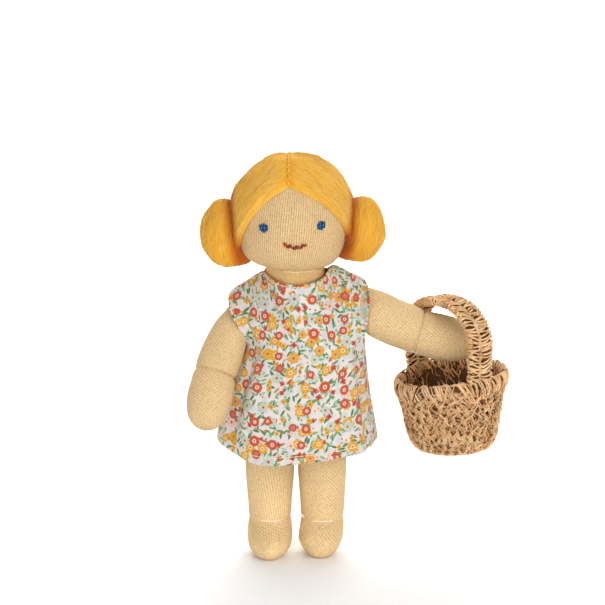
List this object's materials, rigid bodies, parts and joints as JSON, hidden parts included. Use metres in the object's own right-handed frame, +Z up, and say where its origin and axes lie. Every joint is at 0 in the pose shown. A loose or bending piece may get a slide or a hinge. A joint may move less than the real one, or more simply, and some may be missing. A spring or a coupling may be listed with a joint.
{
  "type": "cloth doll",
  "caption": "Standing stuffed knit-cloth doll with golden wool bun hair, sleeveless flowered cotton dress, jointed limbs and a woven handled basket hung on one arm.",
  "frame": {"origin": "centre of the bottom of the whole object's box, on the floor that the soles stand on", "axes": "+Z up along the doll's height, the longest side; the doll faces -Y, and Y is the shortest side; the doll's own left arm, with the basket, points along +X"},
  "size_m": [0.155, 0.0636, 0.2023],
  "materials": {
    "skin_knit": "matt cotton stockinette knit, tan",
    "wool_filling": "loose carded wool, off white",
    "wool_hair": "combed carded wool, golden yellow",
    "hair_thread": "cotton embroidery thread, gold",
    "eye_thread": "cotton embroidery thread, blue",
    "mouth_thread": "cotton embroidery thread, rust",
    "seam_thread": "cotton sewing thread, cream",
    "dress_cotton": "plain-woven printed cotton, small flowers on a pale ground",
    "dress_thread": "cotton sewing thread, pale yellow",
    "closure_tape": "hook-and-loop tape, white",
    "jute": "woven and crocheted jute yarn, brown"
  },
  "bodies": {
    "torso": {"torso_skin": "skin_knit", "torso_wool_filling": "wool_filling", "right_shoulder_seam": "seam_thread", "left_shoulder_seam": "seam_thread", "right_hip_seam": "seam_thread", "left_hip_seam": "seam_thread", "dress_front": "dress_cotton", "dress_back_right": "dress_cotton", "dress_back_left": "dress_cotton", "closure_loop_tape": "closure_tape", "closure_hook_tape": "closure_tape", "hem_stitching": "dress_thread"},
    "head": {"head_skin": "skin_knit", "head_wool_core": "wool_filling", "neck_thread": "seam_thread", "hair_cap": "wool_hair", "right_hair_bun": "wool_hair", "left_hair_bun": "wool_hair", "parting_stitches": "hair_thread", "right_eye": "eye_thread", "left_eye": "eye_thread", "mouth_stitch": "mouth_thread"},
    "right_arm": {"right_arm_skin": "skin_knit", "right_arm_filling": "wool_filling", "right_wrist_thread": "seam_thread"},
    "right_hand": {"right_hand_skin": "skin_knit", "right_hand_filling": "wool_filling"},
    "left_arm": {"left_arm_skin": "skin_knit", "left_arm_filling": "wool_filling", "left_wrist_thread": "seam_thread"},
    "left_hand": {"left_hand_skin": "skin_knit", "left_hand_filling": "wool_filling"},
    "right_leg": {"right_leg_skin": "skin_knit", "right_leg_filling": "wool_filling", "right_ankle_thread": "seam_thread"},
    "right_foot": {"right_foot_skin": "skin_knit", "right_foot_filling": "wool_filling"},
    "left_leg": {"left_leg_skin": "skin_knit", "left_leg_filling": "wool_filling", "left_ankle_thread": "seam_thread"},
    "left_foot": {"left_foot_skin": "skin_knit", "left_foot_filling": "wool_filling"},
    "basket": {"basket_wall": "jute", "basket_base": "jute", "basket_rim": "jute", "basket_handle": "jute"}
  },
  "joints": [
    {"name": "head_turn", "type": "hinge", "parent": "torso", "child": "head", "pos_m": [-0.02614, 0.0016, 0.1437], "axis": [0, 0, 1], "range_deg": [-35, 35]},
    {"name": "right_shoulder", "type": "hinge", "parent": "torso", "child": "right_arm", "pos_m": [-0.05414, 0.0016, 0.1195], "axis": [-0.9, 0, -0.436], "range_deg": [0, 60]},
    {"name": "right_wrist", "type": "hinge", "parent": "right_arm", "child": "right_hand", "pos_m": [-0.06454, -0.0098, 0.0927], "axis": [-0.9655, 0.1169, 0.2329], "range_deg": [0, 25]},
    {"name": "left_shoulder", "type": "hinge", "parent": "torso", "child": "left_arm", "pos_m": [0.00586, 0.0016, 0.1224], "axis": [0, 0, -1], "range_deg": [-15, 40]},
    {"name": "left_wrist", "type": "hinge", "parent": "left_arm", "child": "left_hand", "pos_m": [0.03506, -0.0009, 0.1115], "axis": [-0.2642, 0.024, -0.9642], "range_deg": [-12, 25]},
    {"name": "basket_swing", "type": "hinge", "parent": "left_hand", "child": "basket", "pos_m": [0.05086, -0.00242, 0.10873], "axis": [0.9806, -0.0946, -0.1716], "range_deg": [-35, 35]},
    {"name": "right_hip", "type": "hinge", "parent": "torso", "child": "right_leg", "pos_m": [-0.03814, 0.0016, 0.064], "axis": [-1, 0, 0], "range_deg": [-25, 40]},
    {"name": "left_hip", "type": "hinge", "parent": "torso", "child": "left_leg", "pos_m": [-0.01214, 0.0016, 0.064], "axis": [-1, 0, 0], "range_deg": [-25, 40]},
    {"name": "right_ankle", "type": "hinge", "parent": "right_leg", "child": "right_foot", "pos_m": [-0.03814, 0.0016, 0.0175], "axis": [-1, 0, 0], "range_deg": [-18, 18]},
    {"name": "left_ankle", "type": "hinge", "parent": "left_leg", "child": "left_foot", "pos_m": [-0.01214, 0.0016, 0.0175], "axis": [-1, 0, 0], "range_deg": [-18, 18]}
  ]
}
